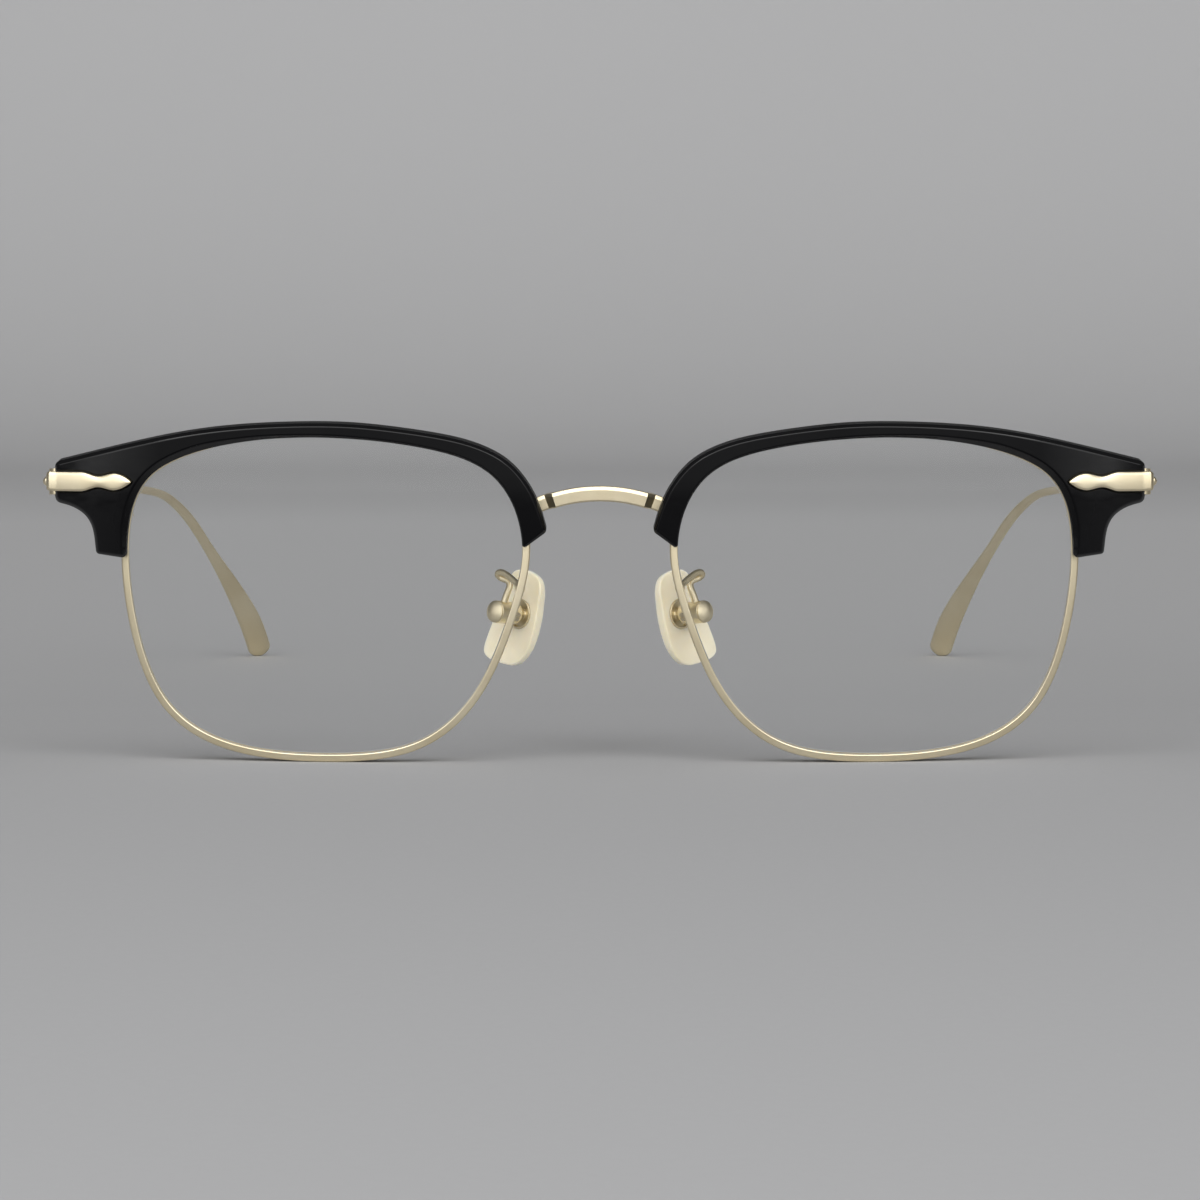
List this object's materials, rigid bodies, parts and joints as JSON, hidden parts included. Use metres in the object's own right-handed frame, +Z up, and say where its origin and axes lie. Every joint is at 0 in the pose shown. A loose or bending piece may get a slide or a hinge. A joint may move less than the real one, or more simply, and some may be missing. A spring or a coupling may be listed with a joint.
{
  "type": "browline glasses",
  "caption": "Browline glasses: black brow pieces over thin metal rims, metal bridge, nose pads that rock on arms, and slim wire temples with flat curved tips that fold at screw hinges.",
  "frame": {"origin": "middle of the open glasses in plan, on the table that the rims and the temple tips stand on", "axes": "+X towards the wearer's left, +Y from the front back to the temple tips, +Z up"},
  "size_m": [0.145, 0.1428, 0.0444],
  "materials": {
    "black_acetate": "polished black acetate",
    "champagne_metal": "satin champagne gold plating",
    "screw_steel": "fine turned, pale gold plating",
    "lens_clear": "clear, polished",
    "pad_plastic": "translucent cream, smooth"
  },
  "bodies": {
    "front": {"bridge": "champagne_metal", "lens_left": "lens_clear", "rim_left": "champagne_metal", "lock_upper_left": "champagne_metal", "lock_lower_left": "champagne_metal", "lock_screw_left": "screw_steel", "brow_left": "black_acetate", "brow_tab_left": "champagne_metal", "brow_screw_left": "screw_steel", "end_piece_left": "champagne_metal", "end_screw_left": "screw_steel", "end_rivet_left": "champagne_metal", "hinge_screw_left": "screw_steel", "pad_arm_left": "champagne_metal", "pad_box_left": "champagne_metal", "pad_screw_left": "screw_steel", "lens_right": "lens_clear", "rim_right": "champagne_metal", "lock_upper_right": "champagne_metal", "lock_lower_right": "champagne_metal", "lock_screw_right": "screw_steel", "brow_right": "black_acetate", "brow_tab_right": "champagne_metal", "brow_screw_right": "screw_steel", "end_piece_right": "champagne_metal", "end_screw_right": "screw_steel", "end_rivet_right": "champagne_metal", "hinge_screw_right": "screw_steel", "pad_arm_right": "champagne_metal", "pad_box_right": "champagne_metal", "pad_screw_right": "screw_steel"},
    "temple_left": {"temple_left": "champagne_metal", "temple_hinge_left": "champagne_metal"},
    "temple_right": {"temple_right": "champagne_metal", "temple_hinge_right": "champagne_metal"},
    "pad_left": {"nose_pad_left": "pad_plastic", "pad_core_left": "champagne_metal"},
    "pad_right": {"nose_pad_right": "pad_plastic", "pad_core_right": "champagne_metal"}
  },
  "joints": [
    {"name": "temple_left_fold", "type": "hinge", "parent": "front", "child": "temple_left", "pos_m": [0.071, -0.0584, 0.03605], "axis": [0, 0.0698, 0.9976], "range_deg": [0, 81]},
    {"name": "temple_right_fold", "type": "hinge", "parent": "front", "child": "temple_right", "pos_m": [-0.071, -0.0584, 0.03605], "axis": [0, -0.0698, -0.9976], "range_deg": [0, 68]},
    {"name": "pad_left_rock", "type": "hinge", "parent": "front", "child": "pad_left", "pos_m": [0.01205, -0.06332, 0.01926], "axis": [0.6915, 0.6791, 0.2463], "range_deg": [-10, 10]},
    {"name": "pad_right_rock", "type": "hinge", "parent": "front", "child": "pad_right", "pos_m": [-0.01205, -0.06332, 0.01926], "axis": [-0.6915, 0.6791, 0.2463], "range_deg": [-10, 10]}
  ]
}
